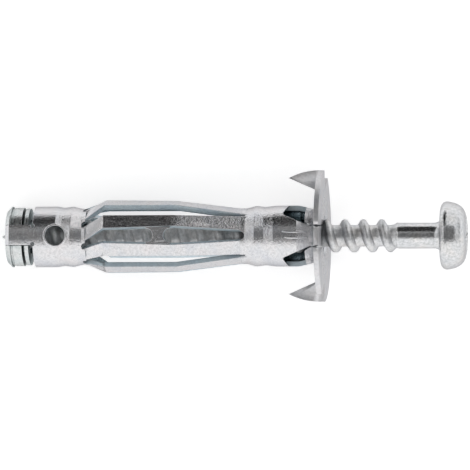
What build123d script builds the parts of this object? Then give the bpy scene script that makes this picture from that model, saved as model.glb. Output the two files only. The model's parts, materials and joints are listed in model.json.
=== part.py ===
from build123d import *
from math import atan2, cos, degrees, radians, sin
import os

# Hollow wall anchor with its screw, in millimetres.
# It is drawn along X with the flange's outer face at x = 0 and the screw head on the +X side,
# and then laid down as it rests: on the flange's rim and on the rim of its far end.
# Angles around the axis are counted from +Z, which faces the viewer, towards -Y.

# Sheet metal sleeve, across the axis
sheet = 0.7  # thickness of the rolled steel
tube_radius = 4.13  # outside of the rolled tube, for a 10 mm hole with the legs' edges
bead_depth = 0.18  # how far the rolled grooves lie below the tube
waist_depth = 0.36  # how far the tube narrows where the legs leave it
leg_reach = 4.92  # outer face of the legs along the bulge
leg_waist = 3.64  # outer face of the legs where they meet the collars
leg_width = 1.92
crease_trim = 0.3  # what the wide slots take off each leg at the crease
slot_twist = 22.5  # turn of the legs between the end collar and the bulge
leg_phase = -2.0  # turn of the whole leg pattern

# Sheet metal sleeve, lengths along the axis from the flange to the far end
shoulder_length = 2.8
collar_length = 7.07
taper_length = 9.43
straight_length = 9.7
flare_length = 3.1
band_length = 6.6
tongue_length = 3.8

# Rolled profile of the far collar, from the legs' roots
far_groove_offset = 2.65
far_groove_slope = 0.9
far_bead_rise = 1.15
far_waist_lip = 0.12

# Rolled profile of the near collar, from the legs' ends
near_bead_offset = 1.35
near_groove_offset = 2.57
near_rise_offset = 3.93
near_waist_lip = 0.04
shoulder_share = 0.62  # share of the shoulder that stays wide
shoulder_drop = 0.38

# Ends of the legs at the near collar
near_slot_radius = 0.6
narrow_slot = 0.17
leg_end_gain = 0.3  # on the narrow slot's side
leg_end_trim = 0.2  # on the wide slot's side

# Webs that join the legs in pairs
web_offset = 1.5  # from the crease to the near edge of the web
web_length = 1.4
web_drop = 0.14  # how far the web lies below the legs
web_span = 2.3
web_round = 0.95  # rounded ends of the slots beside the web

# End tongues and cross hole of the far collar
tongue_width = 2.7
tongue_angle = -4.0
relief_radius = 0.27
cross_hole_radius = 1.38
cross_hole_offset = 3.05  # from the notches to the hole's centre
cross_hole_angle = -3.0
end_chamfer = 0.55

# Flange, lips and prongs
flange_radius = 8.9
lip_width = 2.7
lip_reach = 8.3
lip_round = 0.35
slit_width = 0.15
wing_round = 0.5
mouth_radius = 2.5
mouth_round = 0.3
prong_arc = 28.0  # share of the rim that is folded out as a prong
prong_root = 6.0
prong_bend = 0.5

# Openings between the shoulder's three strips: one on each side of the front tongue, one behind
opening_length = 3.1
opening_offset = 1.7  # from the flange's back face
opening_slope = 1.0
opening_corner = 2.0  # across, from the axis to the corner next to the tongue
opening_round = 0.18
wedge_length = 0.7  # how far the openings run on beside the tongue
tongue_root_half = 2.98
rear_opening_half = 1.5
rear_opening_inner = 2.0  # radius at which the rear cut starts, inside the wall

# Nut in the far end
nut_clearance = 0.05
nut_bore = 2.3
nut_body_drop = 0.15  # how far the nut's body lies below its end rim
nut_rim = 0.7
nut_groove_width = 0.35
nut_groove_depth = 0.1
nut_body_length = 1.2
nut_neck_width = 0.36
nut_neck_radius = 2.7
nut_ring_length = 0.52
nut_ring_drop = 0.27

# Screw
thread_radius = 2.25  # over the crests
tip_overhang = 0.85
tip_length = 4.2
tip_radius = 0.12
shank_radius = 1.75
shank_start = 9.4
thread_end_slope = 1.0
head_stand = 15.8  # from the flange to the head's flat underside
neck_length = 0.75
neck_radius = 2.05
head_radius = 4.63
head_height = 3.5
head_edge = 0.6
head_side = 1.9
head_top_radius = 2.3
crown_radius = 2.6
recess_turn = 20.0
recess_span = 4.6
recess_width = 0.95
recess_depth = 2.1
recess_floor_span = 2.3
recess_floor_width = 0.6

# Stations along the axis
flange_back = -sheet
shoulder_end = flange_back - shoulder_length
leg_end = shoulder_end - collar_length
crease = leg_end - taper_length
flare_end = crease - straight_length
leg_root = flare_end - flare_length
band_end = leg_root - band_length
sleeve_end = band_end - tongue_length

tube_bore = tube_radius - sheet
leg_step = 45.0
overlap = 0.45  # length that the legs run into the collars


def cross_plane(x, angle):
    """Plane across the axis at x, with its local Y pointing out at the angle."""
    turn = radians(angle)
    return Plane(origin=(x, 0, 0), x_dir=(0, cos(turn), sin(turn)), z_dir=(1, 0, 0))


def outward_plane(angle, radius=0.0):
    """Plane whose normal points out at the angle, with its local X along the axis."""
    turn = radians(angle)
    out = Vector(0, -sin(turn), cos(turn))
    return Plane(origin=out * radius, x_dir=(1, 0, 0), z_dir=out)


def turned(*angles):
    """Locations that repeat a thing around the axis."""
    return [Location((0, 0, 0), (angle, 0, 0)) for angle in angles]


def rolled_wall(*outline):
    """Outline of a rolled wall: the outer points, and the same points one sheet thickness further in."""
    Polyline(*outline, *[(x, radius - sheet) for x, radius in reversed(outline)], close=True)


# Far collar: flat, then one rolled groove, one bead, and a waist where the legs start
waist_radius = tube_radius - waist_depth
slot_end_radius = (radians(leg_step) * waist_radius - leg_width) / 2
groove_far = leg_root - far_groove_offset
with BuildPart() as far_collar:
    with BuildSketch(Plane.XZ):
        with BuildLine():
            rolled_wall(
                (sleeve_end, tube_radius),
                (groove_far - far_groove_slope, tube_radius),
                (groove_far, tube_radius - bead_depth),
                (groove_far + far_bead_rise, tube_radius),
                (leg_root, waist_radius),
                (leg_root + slot_end_radius, waist_radius + far_waist_lip),
            )
        make_face()
    revolve(axis=Axis.X)
    # The far end's corner is turned in all round
    rim = far_collar.edges().filter_by(GeomType.CIRCLE).group_by(Axis.X)[0].sort_by(SortBy.RADIUS)[-1]
    chamfer(rim, end_chamfer)
    # Two wide notches leave a tongue in front and one behind
    notch_depth = 2 * tube_radius
    notch_mid = (sleeve_end + band_end) / 2
    with Locations(*turned(tongue_angle, tongue_angle + 180)):
        with Locations((notch_mid, (tongue_width + notch_depth) / 2, 0)):
            Box(tongue_length, notch_depth, 2 * notch_depth, mode=Mode.SUBTRACT)
        with Locations(
            (band_end, tongue_width / 2 - relief_radius / 2, tube_radius),
            (band_end, relief_radius / 2 - tongue_width / 2, tube_radius),
        ):
            Cylinder(relief_radius, 3 * sheet, mode=Mode.SUBTRACT)
    # Cross hole through both walls
    with Locations(*turned(cross_hole_angle)):
        with Locations((band_end + cross_hole_offset, 0, 0)):
            Cylinder(cross_hole_radius, 4 * tube_radius, mode=Mode.SUBTRACT)
    # Rounded ends of the eight slots
    slot_angles = [leg_phase + slot_twist + leg_step * count for count in range(8)]
    for angle in slot_angles:
        with BuildSketch(outward_plane(angle)):
            with Locations((leg_root + slot_end_radius, 0)):
                Circle(slot_end_radius)
        extrude(amount=2 * tube_radius, mode=Mode.SUBTRACT)

# Near collar: bead, groove and bead, then the shoulder drawn in to the screw's hole
hub_radius = mouth_radius + sheet
with BuildPart() as near_collar:
    with BuildSketch(Plane.XZ):
        with BuildLine():
            rolled_wall(
                (leg_end - near_slot_radius, waist_radius + near_waist_lip),
                (leg_end, waist_radius),
                (leg_end + near_bead_offset, tube_radius),
                (leg_end + near_groove_offset, tube_radius - bead_depth),
                (leg_end + near_rise_offset, tube_radius),
                (shoulder_end, tube_radius),
                (shoulder_end + shoulder_share * shoulder_length, tube_radius - shoulder_drop),
                (flange_back, hub_radius),
            )
        make_face()
    revolve(axis=Axis.X)
    # Mouth of the hole in the flange's face
    with BuildSketch(Plane.XZ):
        with BuildLine():
            Line((flange_back, mouth_radius), (-mouth_round, mouth_radius))
            Line((-mouth_round, mouth_radius), (0, mouth_radius + mouth_round))
            Line((0, mouth_radius + mouth_round), (0, hub_radius + mouth_round))
            Line((0, hub_radius + mouth_round), (flange_back, hub_radius + mouth_round))
            Line((flange_back, hub_radius + mouth_round), (flange_back, mouth_radius))
        make_face()
    revolve(axis=Axis.X)
    # Rounded ends of the wide slots and the tips of the narrow ones
    for count in range(8):
        slot = near_slot_radius if count % 2 == 0 else narrow_slot / 2
        with BuildSketch(outward_plane(leg_phase + leg_step * count)):
            with Locations((leg_end - near_slot_radius, 0)):
                SlotOverall(2 * near_slot_radius, 2 * slot)
        extrude(amount=2 * tube_radius, mode=Mode.SUBTRACT)

# One pair of legs with its web, on either side of a wide slot
leg_half = leg_width / 2
leg_stations = [
    (leg_root - overlap, slot_twist, leg_waist, leg_half, leg_half),
    (leg_root, slot_twist, leg_waist, leg_half, leg_half),
    (flare_end, 0, leg_reach, leg_half, leg_half),
    (crease, 0, leg_reach, leg_half, leg_half - crease_trim),
    (leg_end, 0, leg_waist, leg_half + leg_end_gain, leg_half - leg_end_trim),
    (leg_end + overlap, 0, leg_waist, leg_half + leg_end_gain, leg_half - leg_end_trim),
]
with BuildPart() as leg_pair:
    for side in (-1, 1):
        for x, twist, reach, outer_half, slot_half in leg_stations:
            angle = leg_phase + twist + side * leg_step / 2
            with BuildSketch(cross_plane(x, angle)):
                with Locations((side * (slot_half - outer_half) / 2, reach - sheet / 2)):
                    Rectangle(outer_half + slot_half, sheet)
        loft(ruled=True)
    web_top = leg_reach - web_drop
    web_near = crease - web_offset
    web_far = web_near - web_length
    with BuildSketch(outward_plane(leg_phase, web_top - sheet)):
        with Locations(((web_far + web_near) / 2, 0)):
            Rectangle(web_length + 2 * web_round, web_span)
        for slot_end in (web_far - web_round, web_near + web_round):
            with Locations((slot_end, 0)):
                Circle(web_round, mode=Mode.SUBTRACT)
    extrude(amount=sheet)

# Flange: two wings and the front lip, with slits between them
prong_reach = flange_radius * sin(radians(prong_arc))
prong_side = flange_radius * cos(radians(prong_arc))
upward = (Align.CENTER, Align.CENTER, Align.MIN)
downward = (Align.CENTER, Align.CENTER, Align.MAX)
lip_gap = lip_width + 2 * slit_width
with BuildPart() as flange:
    with BuildSketch(Plane.YZ.offset(flange_back)) as wings:
        Circle(flange_radius)
        Rectangle(lip_gap, 2 * flange_radius, align=(Align.CENTER, Align.MIN), mode=Mode.SUBTRACT)
        Rectangle(slit_width, 2 * flange_radius, align=(Align.CENTER, Align.MAX), mode=Mode.SUBTRACT)
        rim_corners = wings.vertices().filter_by(lambda corner: abs(corner.Y) > 2 * mouth_radius)
        fillet(rim_corners, wing_round)
        # What is folded out as prongs
        flap = [
            (prong_root, 0),
            (prong_side, -prong_reach),
            (2 * prong_side, -2 * prong_reach),
            (2 * flange_radius, 0),
        ]
        Polygon(*flap, align=None, mode=Mode.SUBTRACT)
        Polygon(*[(-y, -z) for y, z in flap], align=None, mode=Mode.SUBTRACT)
        Circle(hub_radius, mode=Mode.SUBTRACT)
    extrude(amount=sheet)
    with BuildSketch(Plane.YZ.offset(flange_back)) as lip:
        Rectangle(lip_width, lip_reach, align=(Align.CENTER, Align.MIN))
        fillet(lip.vertices().group_by(Axis.Y)[-1], lip_round)
        Circle(hub_radius, mode=Mode.SUBTRACT)
    extrude(amount=sheet)

# One prong: a piece of the rim folded square to the flange
with BuildPart() as prong:
    with BuildSketch(Plane.XY):
        with BuildLine():
            rim_edge = CenterArc((flange_back, 0), flange_radius, 90, prong_arc)
            Line(rim_edge @ 1, (flange_back, prong_root))
            Line((flange_back, prong_root), (0, prong_root))
            Line((0, prong_root), (0, flange_radius))
            Line((0, flange_radius), rim_edge @ 0)
        make_face()
    extrude(amount=-sheet)
    bend_edge = prong.edges().filter_by(Axis.Y).group_by(Axis.X)[-1].sort_by(Axis.Z)[0]
    fillet(bend_edge, prong_bend)

# Openings in the shoulder; the side ones end level with the axis
opening_end = flange_back - opening_offset
opening_start = opening_end - opening_length
wedge_end = opening_end + wedge_length
opening_top = tube_radius + overlap
with BuildPart() as openings:
    with BuildSketch(Plane.XY) as side_opening:
        with BuildLine():
            Polyline(
                (opening_start, tongue_root_half),
                (opening_start + opening_slope, opening_top),
                (opening_end, opening_top),
                (opening_end, opening_corner),
                (wedge_end, lip_width / 2 + slit_width),
                (wedge_end, lip_width / 2),
                close=True,
            )
        make_face()
        fillet(side_opening.vertices().sort_by(Axis.X)[0], opening_round)
    extrude(amount=2 * tube_radius)
    mirror(about=Plane.XZ)
    with BuildSketch(outward_plane(180, rear_opening_inner)) as rear_opening:
        with BuildLine():
            Polyline(
                (opening_start, 0),
                (opening_end, rear_opening_half),
                (opening_end, -rear_opening_half),
                close=True,
            )
        make_face()
        fillet(rear_opening.vertices(), opening_round)
    extrude(amount=2 * tube_radius)

with BuildPart() as expansion_sleeve:
    add(far_collar.part)
    with Locations(*turned(0, 90, 180, 270)):
        add(leg_pair.part)
    add(near_collar.part)
    add(flange.part)
    with Locations(*turned(0, 180)):
        add(prong.part)
    add(openings.part, mode=Mode.SUBTRACT)
    # Slits from the openings out to the rim
    slit_side = (lip_width + slit_width) / 2
    with Locations((wedge_end / 2, -slit_side, 0), (wedge_end / 2, slit_side, 0)):
        Box(-wedge_end, slit_width, 2 * flange_radius, align=upward, mode=Mode.SUBTRACT)
    with Locations((opening_end / 2, 0, 0)):
        Box(-opening_end, slit_width, 2 * flange_radius, align=downward, mode=Mode.SUBTRACT)

# Nut: a turned body with a channel for each tongue
groove_1 = sleeve_end + nut_rim
body_start = groove_1 + nut_groove_width
neck_start = body_start + nut_body_length
ring_start = neck_start + nut_neck_width
ring_end = ring_start + nut_ring_length
body_radius = tube_radius - nut_body_drop
with BuildPart() as threaded_nut:
    with BuildSketch(Plane.XZ):
        with BuildLine():
            Polyline(
                (sleeve_end, nut_bore),
                (sleeve_end, tube_radius - end_chamfer),
                (sleeve_end + end_chamfer, tube_radius),
                (groove_1, tube_radius),
                (groove_1, body_radius - nut_groove_depth),
                (body_start, body_radius - nut_groove_depth),
                (body_start, body_radius),
                (neck_start, body_radius),
                (neck_start, nut_neck_radius),
                (ring_start, nut_neck_radius),
                (ring_start, tube_radius - nut_ring_drop),
                (ring_end, tube_radius - nut_ring_drop),
                (ring_end, nut_bore),
                close=True,
            )
        make_face()
    revolve(axis=Axis.X)
    # Channels for the sleeve's tongues, their floors on the tongues' inner faces
    with BuildSketch(Plane.YZ.offset(sleeve_end)):
        Circle(2 * tube_radius)
        Circle(tube_bore, mode=Mode.SUBTRACT)
        with Locations(Location((0, 0, 0), tongue_angle)):
            Rectangle(tongue_width + 2 * nut_clearance, 4 * tube_radius, mode=Mode.INTERSECT)
    extrude(amount=ring_end - sleeve_end, mode=Mode.SUBTRACT)

# Screw: threaded length over its crests, with its point, plain shank, pan head with a cross recess
tip = sleeve_end - tip_overhang
shank_end = head_stand - neck_length
head_top = head_stand + head_height
with BuildPart() as screw:
    with BuildSketch(Plane.XZ):
        Polygon(
            (tip, 0),
            (tip, tip_radius),
            (tip + tip_length, thread_radius),
            (shank_start - thread_end_slope, thread_radius),
            (shank_start, shank_radius),
            (shank_end, shank_radius),
            (head_stand, neck_radius),
            (head_stand, 0),
            align=None,
        )
    revolve(axis=Axis.X)
    with BuildSketch(Plane.XZ):
        with BuildLine():
            edge = RadiusArc(
                (head_stand, head_radius - head_edge),
                (head_stand + head_edge, head_radius),
                head_edge,
            )
            side = Line(edge @ 1, (head_stand + head_side, head_radius))
            crown = RadiusArc(side @ 1, (head_top, head_top_radius), crown_radius)
            Polyline(crown @ 1, (head_top, 0), (head_stand, 0), edge @ 0)
        make_face()
    revolve(axis=Axis.X)
    for depth, span, width in (
        (0, recess_span, recess_width),
        (recess_depth, recess_floor_span, recess_floor_width),
    ):
        with BuildSketch(Plane(origin=(head_top - depth, 0, 0), x_dir=(0, 1, 0), z_dir=(-1, 0, 0))):
            with Locations(Location((0, 0, 0), recess_turn)):
                Rectangle(span, width)
                Rectangle(width, span)
    loft(ruled=True, mode=Mode.SUBTRACT)

# Laid down: the flange's rim and the rim of the far end touch the surface
rim_low = -flange.part.bounding_box().min.Z
far_contact = sleeve_end + end_chamfer
lay_angle = degrees(atan2(rim_low - tube_radius, flange_back - far_contact))
tilt = Location((0, 0, 0), (0, -lay_angle, 0))
pieces = {"expansion_sleeve": expansion_sleeve, "threaded_nut": threaded_nut, "screw": screw}
tilted_box = Compound([piece.part.moved(tilt) for piece in pieces.values()]).bounding_box()
lying = Pos(-tilted_box.center().X, 0, -tilted_box.min.Z) * tilt

os.makedirs("parts", exist_ok=True)
for label, piece in pieces.items():
    piece.part.move(lying)
    piece.part.label = label
    export_step(piece.part, f"parts/{label}.step")
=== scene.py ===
import json
from math import atan2, cos, degrees, pi, radians, sin, tan

import bpy
import bmesh
from mathutils import Matrix, Vector


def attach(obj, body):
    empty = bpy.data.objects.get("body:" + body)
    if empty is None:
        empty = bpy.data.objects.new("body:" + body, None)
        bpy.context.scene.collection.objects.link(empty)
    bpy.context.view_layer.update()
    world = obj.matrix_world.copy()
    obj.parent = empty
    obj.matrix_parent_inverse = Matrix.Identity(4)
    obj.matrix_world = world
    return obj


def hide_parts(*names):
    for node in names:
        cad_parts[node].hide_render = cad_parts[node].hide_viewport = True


mm = 0.001

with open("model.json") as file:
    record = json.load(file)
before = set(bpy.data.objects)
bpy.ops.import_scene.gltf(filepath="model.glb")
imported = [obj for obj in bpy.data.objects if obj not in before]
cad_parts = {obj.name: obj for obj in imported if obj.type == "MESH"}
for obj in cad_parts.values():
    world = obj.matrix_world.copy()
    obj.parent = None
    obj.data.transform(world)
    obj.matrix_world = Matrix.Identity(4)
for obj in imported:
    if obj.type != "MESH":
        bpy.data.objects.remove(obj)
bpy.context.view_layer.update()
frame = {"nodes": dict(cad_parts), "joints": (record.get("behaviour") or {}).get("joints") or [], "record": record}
nodes = frame["nodes"]
mounts = {mount["name"]: mount for mount in frame["record"]["mounts"]}

# The anchor's own line: along the screw, from the middle of the flange's outer face
recessX = 19.3
axis = Vector(frame["joints"][0]["axis"]).normalized()
flangeCentre = Vector(mounts["cross_recess"]["pos_m"]) - recessX * mm * axis
layAngle = atan2(axis.z, axis.x)
toWorld = Matrix.Translation(flangeCentre) @ Matrix.Rotation(-layAngle, 4, "Y")
print("frame loaded, the anchor rises", round(degrees(layAngle), 2), "degrees")


def onlySelect(*pieces):
    if bpy.context.object and bpy.context.object.mode != "OBJECT":
        bpy.ops.object.mode_set(mode="OBJECT")
    bpy.ops.object.select_all(action="DESELECT")
    for piece in pieces:
        piece.select_set(True)
        bpy.context.view_layer.objects.active = piece


def applyAll(piece):
    onlySelect(piece)
    for modifier in list(piece.modifiers):
        bpy.ops.object.modifier_apply(modifier=modifier.name)


def layDown(piece):
    # from the anchor's own millimetres to its place on the floor
    piece.data.transform(toWorld @ Matrix.Scale(mm, 4))
    piece.data.update()


onlySelect()

# Camera: straight above, far enough for nearly parallel lines
camera = {
    "height": 0.95,
    "pixelsPerMm": 7.387,
    "imagePixels": 470,
    "centre": (0.02, 0.17),
    "roll": -0.2,
    "aimHeight": 9.0,
}
bpy.ops.object.camera_add(location=(camera["centre"][0] * mm, camera["centre"][1] * mm, camera["height"]))
shotCamera = bpy.context.object
shotCamera.name = "shotCamera"
shotCamera.rotation_euler = (0, 0, radians(camera["roll"]))
shotCamera.data.sensor_fit = "HORIZONTAL"
viewWidth = camera["imagePixels"] / camera["pixelsPerMm"] * mm
shotCamera.data.lens = shotCamera.data.sensor_width * (camera["height"] - camera["aimHeight"] * mm) / viewWidth
shotCamera.data.clip_start = 0.01
bpy.context.scene.camera = shotCamera
bpy.context.scene.view_settings.view_transform = "Standard"
print("camera placed")


def newMaterial(name):
    material = bpy.data.materials.new(name)
    material.use_nodes = True
    tree = material.node_tree
    return material, tree, tree.nodes["Principled BSDF"]


def addNode(tree, kind, inputs=None, **settings):
    node = tree.nodes.new(kind)
    for key, value in settings.items():
        setattr(node, key, value)
    for key, value in (inputs or {}).items():
        if hasattr(value, "node"):
            tree.links.new(value, node.inputs[key])
        else:
            node.inputs[key].default_value = value
    return node


def ramp(tree, factor, *stops):
    node = addNode(tree, "ShaderNodeValToRGB", {"Fac": factor})
    elements = node.color_ramp.elements
    while len(elements) < len(stops):
        elements.new(0.5)
    for element, (place, shade) in zip(elements, stops):
        element.position = place
        element.color = shade if len(shade) == 4 else (*shade, 1)
    return node.outputs["Color"]


def calculate(tree, operation, *values):
    return addNode(tree, "ShaderNodeMath", dict(enumerate(values)), operation=operation).outputs[0]


def calculateVector(tree, operation, *values, output="Vector"):
    node = addNode(tree, "ShaderNodeVectorMath", dict(enumerate(values)), operation=operation)
    return node.outputs[output]


def blendColours(tree, kind, factor, first, second):
    node = tree.nodes.new("ShaderNodeMix")
    node.data_type = "RGBA"
    node.blend_type = kind
    for socket, value in ((node.inputs[0], factor), (node.inputs[6], first), (node.inputs[7], second)):
        if hasattr(value, "node"):
            tree.links.new(value, socket)
        else:
            socket.default_value = value if isinstance(value, float) else (*value, 1)
    return node.outputs[2]


def tinted(tree, colour, tint, keep):
    # the tint is on the colour wherever keep is 0
    return blendColours(tree, "MIX", keep, blendColours(tree, "MULTIPLY", 1.0, colour, tint), colour)


def share(tree, value, start, end, low=0.0, high=1.0):
    # how far a value is on its way from start to end, as low to high
    return addNode(tree, "ShaderNodeMapRange", {
        "Value": value, "From Min": start, "From Max": end, "To Min": low, "To Max": high,
    }).outputs["Result"]


def seenStraight(tree):
    # 1 for the camera and for what shows in or through metal, 0 for the light that falls on things
    rays = addNode(tree, "ShaderNodeLightPath")
    seen = calculate(tree, "MAXIMUM", rays.outputs["Is Camera Ray"], rays.outputs["Is Glossy Ray"])
    return calculate(tree, "MAXIMUM", seen, rays.outputs["Is Transmission Ray"])


ownPlace = Matrix.Rotation(layAngle, 4, "Y") @ (flangeCentre / mm)


# What all three zinc platings share: places in the anchor's own millimetres, and ranges of noise and facing
plate = {
    "rimFade": 0.3,
    "flangeFront": (-0.8, -0.7),
    "shadedInsideFacing": (-0.7, -0.35),
    "edgeFacing": (0.25, 0.4),
    "cloudStops": (0.3, 0.5, 0.72),
    "grainRange": (0.3, 0.7),
    "polishFade": 0.6,
    "polishedBump": 0.45,
    "threadHidden": (-3, -1),
    "grainDepth": 0.02,
    "mottleDepth": 0.05,
}


def noise(tree, place, scale, detail, roughness):
    return addNode(tree, "ShaderNodeTexNoise", {
        "Vector": place, "Scale": scale, "Detail": detail, "Roughness": roughness,
    }).outputs["Fac"]


def zincPlate(name, look):
    # bright zinc on steel; the grain runs along or round the anchor's own line
    material, tree, shader = newMaterial(name)
    coordinates = addNode(tree, "ShaderNodeTexCoord")
    own = addNode(tree, "ShaderNodeMapping", {
        "Vector": coordinates.outputs["Object"], "Location": -ownPlace,
        "Rotation": (0, layAngle, 0), "Scale": (1 / mm, 1 / mm, 1 / mm),
    }).outputs["Vector"]
    ownNormal = addNode(tree, "ShaderNodeMapping", {
        "Vector": coordinates.outputs["Normal"], "Rotation": (0, layAngle, 0),
    }, vector_type="VECTOR").outputs["Vector"]

    # 1 where the metal faces away from the anchor's line, -1 on the inside of a wall
    across = calculateVector(tree, "MULTIPLY", own, (0, 1, 1))
    away = calculateVector(tree, "NORMALIZE", across)
    facing = calculateVector(tree, "DOT_PRODUCT", away, ownNormal, output="Value")
    radius = calculateVector(tree, "LENGTH", across, output="Value")
    alongX = addNode(tree, "ShaderNodeSeparateXYZ", {0: own}).outputs["X"]

    grainPlace = addNode(tree, "ShaderNodeMapping", {"Vector": own, "Scale": look["grainScale"]}).outputs["Vector"]
    grain = noise(tree, grainPlace, 1.0, 5.0, 0.6)
    mottle = noise(tree, own, look["mottleScale"], 4.0, 0.65)
    cloud = noise(tree, own, look["cloudScale"], 3.0, 0.5)

    # the punched flange: beyond the tube, or in front of it
    rim = share(tree, radius, look["rimFrom"], look["rimFrom"] + plate["rimFade"])
    punched = calculate(tree, "MAXIMUM", rim, share(tree, alongX, *plate["flangeFront"]))
    # inside walls get painted shade, darker and bluish, and cut edges are pale and matt; the flange has neither
    notShadedInside = calculate(tree, "MAXIMUM", share(tree, facing, *plate["shadedInsideFacing"]), punched)
    tilt = calculate(tree, "ABSOLUTE", facing)
    notEdge = calculate(tree, "MAXIMUM", share(tree, tilt, *plate["edgeFacing"]), punched)

    zinc = ramp(tree, cloud, *zip(plate["cloudStops"], look["shades"]))
    spots = ramp(tree, mottle, (0.3, look["spotShade"]), (0.6, (1, 1, 1)))
    colour = blendColours(tree, "MULTIPLY", 1.0, zinc, spots)
    colour = tinted(tree, colour, look["edgeTint"], notEdge)
    # painted shade: the inside walls are darkened and tinted bluish
    colour = tinted(tree, colour, look["insideShadeTint"], notShadedInside)
    # painted shade: grooves and gaps are darkened by how little light reaches them
    occlusion = addNode(tree, "ShaderNodeAmbientOcclusion", {"Distance": look["grooveReach"] * mm}, samples=6)
    grooveShading = ramp(tree, occlusion.outputs["AO"], (0.25, look["paintedGrooveShade"]), (0.75, (1, 1, 1)))
    colour = blendColours(tree, "MULTIPLY", 1.0, colour, grooveShading)
    tree.links.new(colour, shader.inputs["Base Color"])

    # the shank and the head are polished, and cut edges and the flange are duller
    polished = share(tree, alongX, look["polishedFrom"], look["polishedFrom"] + plate["polishFade"])
    rough = share(tree, grain, *plate["grainRange"], *look["roughness"])
    rough = calculate(tree, "MULTIPLY", rough, share(tree, polished, 0, 1, 1, look["polish"]))
    rough = calculate(tree, "ADD", share(tree, notEdge, 0, 1, look["edgeDullness"], 0), rough)
    rough = calculate(tree, "MULTIPLY_ADD", rim, look["rimDullness"], rough)
    tree.links.new(rough, shader.inputs["Roughness"])
    # the plating is partly matt where the thread sits in the sleeve
    metal = share(tree, alongX, *plate["threadHidden"], 1 - look["mattShare"], 1)
    tree.links.new(metal, shader.inputs["Metallic"])
    shader.inputs["Specular Tint"].default_value = (*look["grazingShade"], 1)

    rounded = addNode(tree, "ShaderNodeBevel", {"Radius": look["edgeRound"] * mm}, samples=6)
    fine = addNode(tree, "ShaderNodeBump", {
        "Height": grain, "Strength": look["grainBump"], "Distance": plate["grainDepth"] * mm,
        "Normal": rounded.outputs[0],
    })
    coarse = addNode(tree, "ShaderNodeBump", {
        "Height": mottle,
        "Strength": share(tree, polished, 0, 1, look["mottleBump"], look["mottleBump"] * plate["polishedBump"]),
        "Distance": plate["mottleDepth"] * mm, "Normal": fine.outputs["Normal"],
    })
    tree.links.new(coarse.outputs["Normal"], shader.inputs["Normal"])
    return material


sleeveLook = {
    "grainScale": (1.6, 4.0, 4.0),
    "mottleScale": 3.0,
    "cloudScale": 0.45,
    "shades": [(0.60, 0.61, 0.64), (0.66, 0.66, 0.67), (0.68, 0.66, 0.665)],
    "spotShade": (0.84, 0.84, 0.85),
    # painted shade on the inside walls
    "insideShadeTint": (0.62, 0.74, 0.77),
    "edgeTint": (1.0, 1.12, 1.16),
    "edgeDullness": 0.4,
    "rimFrom": 5.2,
    "rimDullness": 0.24,
    "grooveReach": 1.6,
    # painted shade in grooves and gaps
    "paintedGrooveShade": (0.45, 0.49, 0.50),
    "grazingShade": (0.6, 0.6, 0.61),
    "roughness": (0.12, 0.22),
    "polishedFrom": 30,
    "polish": 1.0,
    "mattShare": 0.0,
    "edgeRound": 0.11,
    "grainBump": 0.2,
    "mottleBump": 0.95,
}
nutLook = {
    "grainScale": (5.0, 0.8, 0.8),
    "mottleScale": 2.6,
    "cloudScale": 0.6,
    "shades": [(0.56, 0.60, 0.61), (0.64, 0.66, 0.66), (0.66, 0.66, 0.66)],
    "spotShade": (0.75, 0.77, 0.77),
    # painted shade on the inside walls
    "insideShadeTint": (0.6, 0.7, 0.72),
    "edgeTint": (0.9, 0.96, 0.96),
    "edgeDullness": 0.1,
    "rimFrom": 30,
    "rimDullness": 0.0,
    "grooveReach": 0.9,
    # painted shade in grooves and gaps
    "paintedGrooveShade": (0.06, 0.09, 0.09),
    "grazingShade": (0.6, 0.61, 0.61),
    "roughness": (0.22, 0.34),
    "polishedFrom": 30,
    "polish": 1.0,
    "mattShare": 0.0,
    "edgeRound": 0.07,
    "grainBump": 0.3,
    "mottleBump": 0.6,
}
screwLook = {
    "grainScale": (4.0, 1.2, 1.2),
    "mottleScale": 3.0,
    "cloudScale": 0.5,
    "shades": [(0.62, 0.63, 0.65), (0.68, 0.68, 0.69), (0.70, 0.68, 0.67)],
    "spotShade": (0.68, 0.70, 0.69),
    # painted shade on the inside walls
    "insideShadeTint": (0.9, 0.92, 0.92),
    "edgeTint": (1.0, 1.0, 1.0),
    "edgeDullness": 0.0,
    "rimFrom": 30,
    "rimDullness": 0.0,
    "grooveReach": 1.0,
    # painted shade in grooves and gaps
    "paintedGrooveShade": (0.9, 0.92, 0.92),
    "grazingShade": (0.6, 0.6, 0.61),
    "roughness": (0.28, 0.42),
    "polishedFrom": 9.6,
    "polish": 0.38,
    "mattShare": 0.45,
    "edgeRound": 0.06,
    "grainBump": 0.3,
    "mottleBump": 1.3,
}
sleeveZinc = zincPlate("sleeveZinc", sleeveLook)
nutZinc = zincPlate("nutZinc", nutLook)
screwZinc = zincPlate("screwZinc", screwLook)


def dress(piece, material):
    piece.data.materials.clear()
    piece.data.materials.append(material)


rounding = {"roundWithin": 6.5, "flatWithin": 6, "rimWithin": 30, "rimFrom": 5.3, "beadGain": 1.35, "beadSlope": 0.4}


def cornerNormals(piece, angle):
    onlySelect(piece)
    bpy.ops.object.shade_smooth_by_angle(angle=radians(angle))
    return [Vector(corner.vector) for corner in piece.data.corner_normals]


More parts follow.
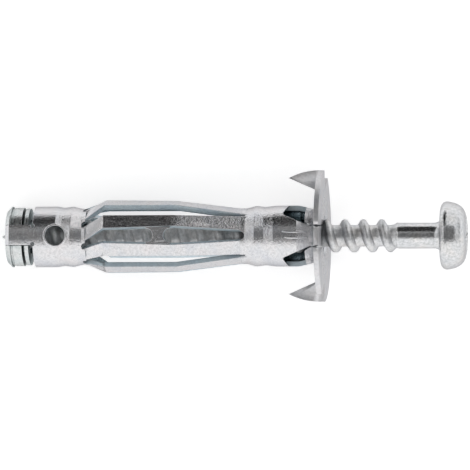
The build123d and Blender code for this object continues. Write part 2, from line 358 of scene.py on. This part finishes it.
def turnedNormals(piece):
    # rolled and turned walls are shaded as true rounds, flat strips stay flat, bends are smooth
    mesh = piece.data
    rimNormals = cornerNormals(piece, rounding["rimWithin"])
    normals = cornerNormals(piece, rounding["flatWithin"])
    toOwn = toWorld.to_3x3().inverted()
    away = []
    for corner in mesh.vertices:
        own = toOwn @ (corner.co - flangeCentre)
        own.x = 0
        away.append((own.normalized(), own.length / mm))
    near = cos(radians(rounding["roundWithin"]))
    for face in mesh.polygons:
        own = toOwn @ face.normal
        flat = Vector((0, own.y, own.z))
        side = 1 if flat.dot(away[face.vertices[0]][0]) > 0 else -1
        level = flat.length > 0.5 and all(flat.normalized().dot(away[v][0]) * side > near for v in face.vertices)
        # a rolled bead is rounder than the straight lines of its section
        slope = own.x * rounding["beadGain"] if abs(own.x) < rounding["beadSlope"] else own.x
        for loop, v in zip(face.loop_indices, face.vertices):
            if level:
                wanted = Vector((slope, 0, 0)) + away[v][0] * side * (1 - slope * slope) ** 0.5
                normals[loop] = toWorld.to_3x3() @ wanted
            elif away[v][1] > rounding["rimFrom"]:
                normals[loop] = rimNormals[loop]
    mesh.normals_split_custom_set(normals)


def softenedCopy(name, node, material):
    # the solid's own shape, with its round walls shaded round
    piece = bpy.data.objects.new(name, nodes[node].data.copy())
    bpy.context.collection.objects.link(piece)
    onlySelect(piece)
    bpy.ops.object.mode_set(mode="EDIT")
    bpy.ops.mesh.select_all(action="SELECT")
    bpy.ops.mesh.remove_doubles(threshold=0.000001)
    bpy.ops.mesh.normals_make_consistent(inside=False)
    bpy.ops.object.mode_set(mode="OBJECT")
    turnedNormals(piece)
    dress(piece, material)
    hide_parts(node)
    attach(piece, "anchor")
    print(name, "softened,", len(piece.data.polygons), "faces")
    return piece


sleevePiece = softenedCopy("rolled_sleeve", "expansion_sleeve", sleeveZinc)
softenedCopy("turned_nut", "threaded_nut", nutZinc)

# Burr round the cross hole, which follows the rolled wall
holeBurr = {
    "centreX": -36.35, "turn": -3, "radius": 1.46, "thickness": 0.13, "height": 0.06, "squash": 0.8,
    "profile": [(-38.5, 4.13), (-36.35, 4.13), (-35.45, 3.95), (-34.3, 4.13)],
}


def wallRadius(points, x):
    # the wall's radius at x, from a line of points (x, radius)
    for (x0, r0), (x1, r1) in zip(points, points[1:]):
        if x <= x1:
            return r0 + (r1 - r0) * max(x - x0, 0) / (x1 - x0)
    return points[-1][1]


bpy.ops.mesh.primitive_torus_add(
    major_radius=holeBurr["radius"], minor_radius=holeBurr["thickness"], major_segments=48, minor_segments=12,
)
burr = bpy.context.object
for corner in burr.data.vertices:
    x, y, z = corner.co
    wall = wallRadius(holeBurr["profile"], x + holeBurr["centreX"])
    lift = z * holeBurr["squash"] + holeBurr["height"] - holeBurr["thickness"] / 2
    corner.co = (x + holeBurr["centreX"], y, (wall * wall - y * y) ** 0.5 + lift)
burr.data.transform(Matrix.Rotation(radians(holeBurr["turn"]), 4, "X"))
layDown(burr)
onlySelect(burr)
bpy.ops.object.shade_smooth()
dress(burr, sleeveZinc)

# Creases pressed into the strip in front of the shoulder: each from one x to another, at one y
creases = {
    "ends": [(-5.4, -2.2, 0.62), (-5.1, -1.9, -0.18)],
    "halfWidth": 0.13, "height": 0.07,
    "profile": [(-3.5, 4.13), (-1.764, 3.75), (-0.7, 3.2)],
}

folds = []
for start, end, side in creases["ends"]:
    bpy.ops.mesh.primitive_uv_sphere_add(segments=20, ring_count=12, radius=1)
    fold = bpy.context.object
    onlySelect(fold)
    for corner in fold.data.vertices:
        x = (start + end) / 2 + corner.co.x * (end - start) / 2
        y = side + corner.co.y * creases["halfWidth"]
        wall = wallRadius(creases["profile"], x)
        corner.co = (x, y, (wall * wall - y * y) ** 0.5 + corner.co.z * creases["height"])
    layDown(fold)
    bpy.ops.object.shade_smooth()
    dress(fold, sleeveZinc)
    folds.append(fold)
onlySelect(burr, *folds, sleevePiece)
bpy.ops.object.join()
print("burr and creases joined to the sleeve")

# Screw: thread, shank and pan head, in millimetres from the flange's outer face
screw = {
    "tip": -44.05,
    "tipLength": 4.2,
    "tipRadius": 0.12,
    "pitch": 2.5,
    "crestRadius": 2.25,
    "rootRadius": 1.45,
    "crestX": 2.75,
    "shankRadius": 1.75,
    "shankStart": 10.1,
    "fade": 1.0,
    "neckStart": 15.05,
    "neckRadius": 2.05,
    "headStart": 15.8,
    "headTop": 19.3,
    "headRadius": 4.63,
    "stepsPerTurn": 48,
    "headSteps": 96,
    "edgeWidth": 0.06,
    "smoothWithin": 35,
    "ringGap": 0.15,
    "weld": 0.0005,
}


def profileMesh(name, points):
    # a line of points (x, radius), ready to be wound round the X axis
    bpy.ops.mesh.primitive_plane_add(size=1)
    piece = bpy.context.object
    piece.name = name
    bpy.ops.object.mode_set(mode="EDIT")
    bpy.ops.mesh.select_all(action="SELECT")
    bpy.ops.mesh.delete(type="VERT")
    bpy.ops.object.mode_set(mode="OBJECT")
    shape = bmesh.new()
    corners = [shape.verts.new((x, 0, radius)) for x, radius in points]
    for first, second in zip(corners, corners[1:]):
        shape.edges.new((first, second))
    shape.to_mesh(piece.data)
    shape.free()
    return piece


def windThread():
    pitch, crest, root = screw["pitch"], screw["crestRadius"], screw["rootRadius"]
    # One pitch of the thread's section, its crest rounded over and its foot run into the core
    section = [
        (-0.5 * pitch, root), (-0.98, root), (-0.72, root + 0.06), (-0.35, crest - 0.12), (-0.2, crest - 0.02),
        (0, crest), (0.2, crest - 0.02), (0.35, crest - 0.12), (0.72, root + 0.06), (0.98, root), (0.5 * pitch, root),
    ]
    turns = int((screw["shankStart"] - screw["tip"]) / pitch) + 5
    firstCrest = screw["crestX"] + 0.25 * pitch
    while firstCrest > screw["tip"] - 1.5 * pitch:
        firstCrest -= pitch
    thread = profileMesh("screw_thread", [(x + firstCrest, radius) for x, radius in section])
    winding = thread.modifiers.new("winding", "SCREW")
    winding.axis = "X"
    winding.angle = 2 * pi
    winding.screw_offset = pitch
    winding.iterations = turns
    winding.steps = screw["stepsPerTurn"]
    winding.render_steps = screw["stepsPerTurn"]
    winding.use_smooth_shade = True
    applyAll(thread)
    bpy.ops.object.mode_set(mode="EDIT")
    bpy.ops.mesh.select_all(action="SELECT")
    bpy.ops.mesh.remove_doubles(threshold=screw["weld"])
    for place, outward in ((screw["tip"], -1), (screw["shankStart"] + 0.1, 1)):
        bpy.ops.mesh.select_all(action="SELECT")
        bpy.ops.mesh.bisect(
            plane_co=(place, 0, 0), plane_no=(outward, 0, 0), use_fill=True, clear_outer=True,
            threshold=screw["weld"],
        )
    bpy.ops.mesh.select_all(action="SELECT")
    bpy.ops.mesh.normals_make_consistent(inside=False)
    bpy.ops.object.mode_set(mode="OBJECT")
    # The point takes the thread down with it, and the last turn runs out on the shank
    for corner in thread.data.vertices:
        x, radius = corner.co.x, Vector((corner.co.y, corner.co.z)).length
        if radius < 1e-6:
            continue
        grown = (x - screw["tip"]) / screw["tipLength"]
        limit = screw["tipRadius"] + grown * (crest - screw["tipRadius"])
        wanted = min(radius, max(limit, screw["tipRadius"]))
        out = (x - screw["shankStart"] + screw["fade"]) / screw["fade"]
        if out > 0:
            wanted += (screw["shankRadius"] - 0.03 - wanted) * min(out, 1)
        corner.co.y *= wanted / radius
        corner.co.z *= wanted / radius
    return thread


def turnHead():
    shank, neck, under = screw["shankStart"], screw["neckStart"], screw["headStart"]
    top, side, slim, ring = screw["headTop"], screw["headRadius"], screw["shankRadius"], screw["ringGap"]
    # rings near both ends of the shank keep its shading straight
    outline = [
        (shank - 0.6, 0), (shank - 0.6, 1.2), (shank - 0.25, slim - 0.08), (shank, slim), (shank + ring, slim),
        (neck - ring, slim), (neck, slim), (under, screw["neckRadius"]), (under, side - 0.8),
        (under + 0.11, side - 0.42), (under + 0.36, side - 0.13), (under + 0.68, side - 0.01), (under + 0.8, side),
        (under + 0.95, side), (under + 1.15, side - 0.04), (under + 1.85, side - 0.2), (under + 1.98, side - 0.24),
        (under + 2.2, side - 0.34), (under + 2.5, side - 0.5), (under + 2.8, side - 0.72),
        (top - 0.42, side - 1.05), (top - 0.2, side - 1.5), (top - 0.05, side - 2.1), (top, 2.0), (top, 0),
    ]
    head = profileMesh("screw", outline)
    turning = head.modifiers.new("turning", "SCREW")
    turning.axis = "X"
    turning.angle = 2 * pi
    turning.steps = screw["headSteps"]
    turning.render_steps = screw["headSteps"]
    turning.use_merge_vertices = True
    turning.merge_threshold = screw["weld"]
    applyAll(head)
    bpy.ops.object.mode_set(mode="EDIT")
    bpy.ops.mesh.select_all(action="SELECT")
    bpy.ops.mesh.remove_doubles(threshold=screw["weld"])
    bpy.ops.mesh.normals_make_consistent(inside=False)
    bpy.ops.object.mode_set(mode="OBJECT")
    return head


# Cross recess in the head
recess = {"span": 4.6, "width": 0.95, "floorSpan": 2.3, "floorWidth": 0.6, "depth": 2.1, "turn": 20}


def recessBlade(angle):
    # one bar of the cross recess, narrower at its floor
    bpy.ops.mesh.primitive_cube_add(size=1)
    blade = bpy.context.object
    top, floor = screw["headTop"] + 0.2, screw["headTop"] - recess["depth"]
    for corner in blade.data.vertices:
        high = corner.co.x > 0
        span = recess["span"] + 0.2 if high else recess["floorSpan"]
        width = recess["width"] + 0.03 if high else recess["floorWidth"]
        corner.co = (top if high else floor, corner.co.y * span, corner.co.z * width)
    blade.data.transform(Matrix.Rotation(radians(angle), 4, "X"))
    return blade


def cutWith(piece, tool, operation):
    cut = piece.modifiers.new("cut", "BOOLEAN")
    cut.operation = operation
    cut.solver = "EXACT"
    cut.object = tool
    applyAll(piece)
    bpy.data.objects.remove(tool)


thread = windThread()
print("thread wound,", len(thread.data.vertices), "points")
screwPiece = turnHead()
for angle in (recess["turn"], recess["turn"] + 90):
    cutWith(screwPiece, recessBlade(angle), "DIFFERENCE")
edges = screwPiece.modifiers.new("edges", "BEVEL")
edges.width = screw["edgeWidth"]
edges.segments = 2
edges.limit_method = "ANGLE"
edges.angle_limit = radians(40)
applyAll(screwPiece)
cutWith(screwPiece, thread, "UNION")
layDown(screwPiece)
screwPiece.name = "pan_head_screw"
onlySelect(screwPiece)
bpy.ops.object.shade_smooth_by_angle(angle=radians(screw["smoothWithin"]))
dress(screwPiece, screwZinc)
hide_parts("screw")
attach(screwPiece, "screw")
print("screw made,", len(screwPiece.data.polygons), "faces")

# Studio: white floor and surroundings, and cards that only the metal sees
studio = {
    "floorSize": 6.0,
    "floorShade": 0.9,
    "floorGlow": 0.36,
    "surroundings": 0.85,
    "lampPower": 1.25,
    "lampPlace": (0.1, -0.7, 0.75),
    "lampSize": (0.9, 0.5),
}
# Each card reaches from one angle to another round the anchor, counted from straight above towards the
# bottom of the picture, and over a stretch from left to right; all as seen from the anchor
cards = {
    "darkCard": {"angles": (-92, -38), "stretch": (-30, 6), "distance": 0.8, "glow": 0.04},
    "paleCard": {"angles": (-38, -22), "stretch": (-30, 6), "distance": 0.8, "glow": 0.36},
    "overheadCard": {"angles": (-22, 14), "stretch": (-30, 6), "distance": 0.8, "glow": 0.2},
    "dimCard": {"angles": (14, 27), "stretch": (-30, 6), "distance": 0.8, "glow": 0.5},
    "leftCard": {"angles": (-92, 27), "stretch": (-68, -30), "distance": 0.8, "glow": 0.58},
    "rightCard": {"angles": (-34, 20), "stretch": (6, 40), "distance": 0.8, "glow": 0.22},
    "farRightCard": {"angles": (-92, 27), "stretch": (40, 68), "distance": 0.8, "glow": 0.66},
    "brightCard": {"angles": (27, 92), "stretch": (-60, 60), "distance": 0.8, "glow": 1.2},
}


def emitting(name, strength):
    material, tree, shader = newMaterial(name)
    glow = addNode(tree, "ShaderNodeEmission", {"Color": (1, 1, 1, 1), "Strength": strength})
    tree.links.new(glow.outputs[0], tree.nodes["Material Output"].inputs["Surface"])
    return material


def card(name, angles, stretch, distance, glow):
    ends = [Vector((0, -sin(radians(angle)), cos(radians(angle)))) * distance for angle in angles]
    span = ends[1] - ends[0]
    middle = (ends[0] + ends[1]) / 2
    left, right = [distance * tan(radians(angle)) for angle in stretch]
    bpy.ops.mesh.primitive_plane_add(
        size=1, location=((left + right) / 2, middle.y, middle.z), rotation=(atan2(span.z, span.y), 0, 0),
    )
    piece = bpy.context.object
    piece.name = name
    piece.scale = (right - left, span.length, 1)
    dress(piece, emitting(name, glow))
    piece.visible_camera = False
    piece.visible_shadow = False
    piece.visible_diffuse = False
    return piece


bpy.ops.mesh.primitive_plane_add(size=studio["floorSize"])
floor = bpy.context.object
floor.name = "floor"
floorWhite, tree, shader = newMaterial("floorWhite")
shader.inputs["Base Color"].default_value = (studio["floorShade"],) * 3 + (1,)
shader.inputs["Roughness"].default_value = 0.9
shader.inputs["Specular IOR Level"].default_value = 0.1
shader.inputs["Emission Color"].default_value = (1, 1, 1, 1)
level = calculate(tree, "MULTIPLY", seenStraight(tree), studio["floorGlow"])
tree.links.new(level, shader.inputs["Emission Strength"])
dress(floor, floorWhite)

for name, place in cards.items():
    card(name, **place)

world = bpy.data.worlds.new("surroundings")
bpy.context.scene.world = world
world.use_nodes = True
tree = world.node_tree
background = tree.nodes["Background"]
background.inputs["Color"].default_value = (1, 1, 1, 1)
level = share(tree, seenStraight(tree), 0, 1, studio["surroundings"], 1.0)
tree.links.new(level, background.inputs["Strength"])

bpy.ops.object.light_add(type="AREA", location=studio["lampPlace"])
lamp = bpy.context.object
lamp.name = "softLamp"
lamp.data.shape = "RECTANGLE"
lamp.data.size, lamp.data.size_y = studio["lampSize"]
lamp.data.energy = studio["lampPower"]
lamp.visible_glossy = False
lamp.rotation_euler = Vector(lamp.location).to_track_quat("Z", "Y").to_euler()
print("studio set up")
